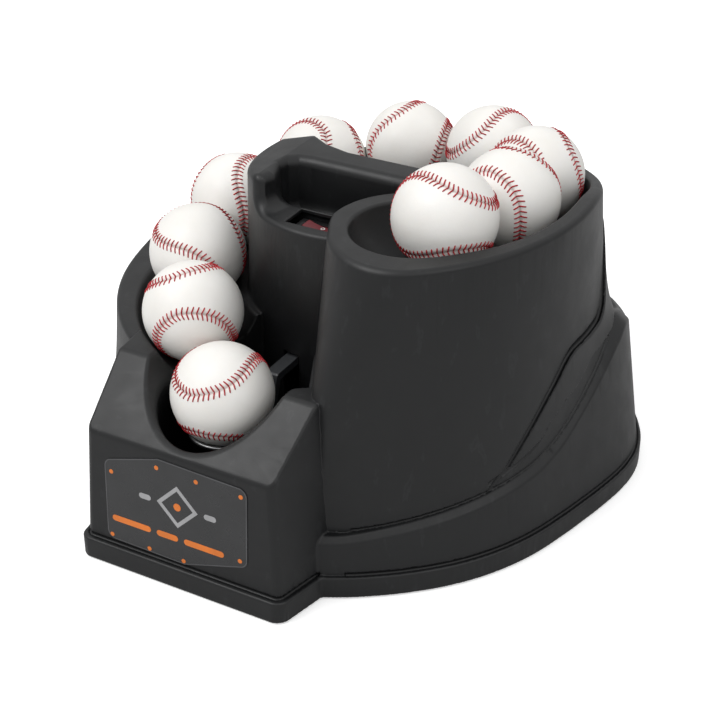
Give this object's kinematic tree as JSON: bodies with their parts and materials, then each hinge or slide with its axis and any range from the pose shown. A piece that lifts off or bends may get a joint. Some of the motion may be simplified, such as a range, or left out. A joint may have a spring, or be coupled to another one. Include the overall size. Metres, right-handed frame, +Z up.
{
  "type": "ball toss machine",
  "caption": "Battery ball toss machine: a moulded spiral track rolls baseballs to a sprung arm in a front pocket, which tosses them one at a time.",
  "frame": {"origin": "underside of the centre foot, on the vertical axis of the spiral track", "axes": "+X right along the labelled front wall, -Y towards the front, +Z up"},
  "size_m": [0.4151, 0.4436, 0.2879],
  "materials": {
    "shell": "fine moulded grain, satin",
    "tray": "plain moulded",
    "rubber": "matt",
    "screw_steel": "zinc plated",
    "label": "printed film",
    "frame_steel": "bent sheet",
    "bronze": "sintered",
    "arm_steel": "grey coat",
    "gear": "machined",
    "pinion": "moulded nylon",
    "gearbox": "cast",
    "motor": "drawn can",
    "spring_steel": "drawn wire",
    "wire_form": "bright wire",
    "switch_black": "smooth",
    "rocker_red": "translucent red",
    "battery": "moulded case",
    "terminal": "tinned tab",
    "strap": "bent strip",
    "wire_red": "insulation",
    "wire_black": "insulation",
    "baseball": "white leather with red stitching"
  },
  "bodies": {
    "casing": {"housing": "shell", "base_tray": "tray", "rubber_feet": "rubber", "tray_screws": "screw_steel", "front_label": "label", "mechanism_frame": "frame_steel", "frame_screws": "screw_steel", "arm_bushes": "bronze", "gearbox": "gearbox", "gearbox_screws": "screw_steel", "motor": "motor", "throw_spring": "spring_steel", "spring_anchor": "screw_steel", "arm_bumper": "rubber", "switch_body": "switch_black", "battery": "battery", "battery_terminals": "terminal", "battery_strap": "strap", "strap_screws": "screw_steel", "charge_socket": "switch_black", "charge_nut": "screw_steel", "wire_battery_switch": "wire_red", "wire_switch_motor": "wire_red", "wire_battery_motor": "wire_black", "wire_charge": "wire_black"},
    "throwing_arm": {"throw_arm": "arm_steel", "arm_shaft": "screw_steel", "arm_set_screw": "screw_steel", "sector_gear": "gear", "spring_pin": "screw_steel", "ball_cradle": "wire_form", "cradle_screws": "screw_steel"},
    "pinion": {"drive_pinion": "pinion", "pinion_shaft": "screw_steel"},
    "rocker": {"switch_rocker": "rocker_red"},
    "socket_cap": {"charge_cap": "rubber"},
    "ball_01": {"baseball_01": "baseball"},
    "ball_02": {"baseball_02": "baseball"},
    "ball_03": {"baseball_03": "baseball"},
    "ball_04": {"baseball_04": "baseball"},
    "ball_05": {"baseball_05": "baseball"},
    "ball_06": {"baseball_06": "baseball"},
    "ball_07": {"baseball_07": "baseball"},
    "ball_08": {"baseball_08": "baseball"},
    "ball_09": {"baseball_09": "baseball"},
    "ball_10": {"baseball_10": "baseball"}
  },
  "joints": [
    {"name": "arm_swing", "type": "hinge", "parent": "casing", "child": "throwing_arm", "pos_m": [-0.0135, -0.005, 0.112], "axis": [1, 0, 0], "range_deg": [0, 20], "stiffness_Nm_per_rad": 1.5, "springref_deg": -17.19, "deforming": ["throw_spring"]},
    {"name": "pinion_spin", "type": "hinge", "parent": "casing", "child": "pinion", "pos_m": [0.0115, 0.02312, 0.06329], "axis": [1, 0, 0], "range_deg": [-80, 0]},
    {"name": "rocker_tilt", "type": "hinge", "parent": "casing", "child": "rocker", "pos_m": [-0.004, -0.062, 0.2115], "axis": [0, 1, 0], "range_deg": [-18, 0]},
    {"name": "cap_swing", "type": "hinge", "parent": "casing", "child": "socket_cap", "pos_m": [0.062, 0.1991, 0.0575], "axis": [1, 0, 0], "range_deg": [0, 90]},
    {"name": "ball_01_lift", "type": "slide", "parent": "casing", "child": "ball_01", "axis": [0.0843, 0.1298, 0.988], "range_m": [0, 0.12]},
    {"name": "ball_02_lift", "type": "slide", "parent": "casing", "child": "ball_02", "axis": [-0.0113, 0.1543, 0.988], "range_m": [0, 0.09]},
    {"name": "ball_03_lift", "type": "slide", "parent": "casing", "child": "ball_03", "axis": [-0.0952, 0.1219, 0.988], "range_m": [0, 0.12]},
    {"name": "ball_04_lift", "type": "slide", "parent": "casing", "child": "ball_04", "axis": [-0.1451, 0.0537, 0.988], "range_m": [0, 0.09]},
    {"name": "ball_05_lift", "type": "slide", "parent": "casing", "child": "ball_05", "axis": [-0.1517, -0.0303, 0.988], "range_m": [0, 0.12]},
    {"name": "ball_06_lift", "type": "slide", "parent": "casing", "child": "ball_06", "axis": [-0.1113, -0.1075, 0.988], "range_m": [0, 0.09]},
    {"name": "ball_07_lift", "type": "slide", "parent": "casing", "child": "ball_07", "axis": [-0.0245, -0.1528, 0.988], "range_m": [0, 0.12]},
    {"name": "ball_08_lift", "type": "slide", "parent": "casing", "child": "ball_08", "axis": [0.0659, -0.14, 0.988], "range_m": [0, 0.09]},
    {"name": "ball_09_lift", "type": "slide", "parent": "casing", "child": "ball_09", "axis": [0.1298, -0.0843, 0.988], "range_m": [0, 0.12]},
    {"name": "ball_10_toss", "type": "slide", "parent": "throwing_arm", "child": "ball_10", "axis": [0, -0.6428, 0.766], "range_m": [0, 0.14]}
  ],
  "couplings": [
    {"joint": "pinion_spin", "follows": "arm_swing", "ratio": -4}
  ]
}
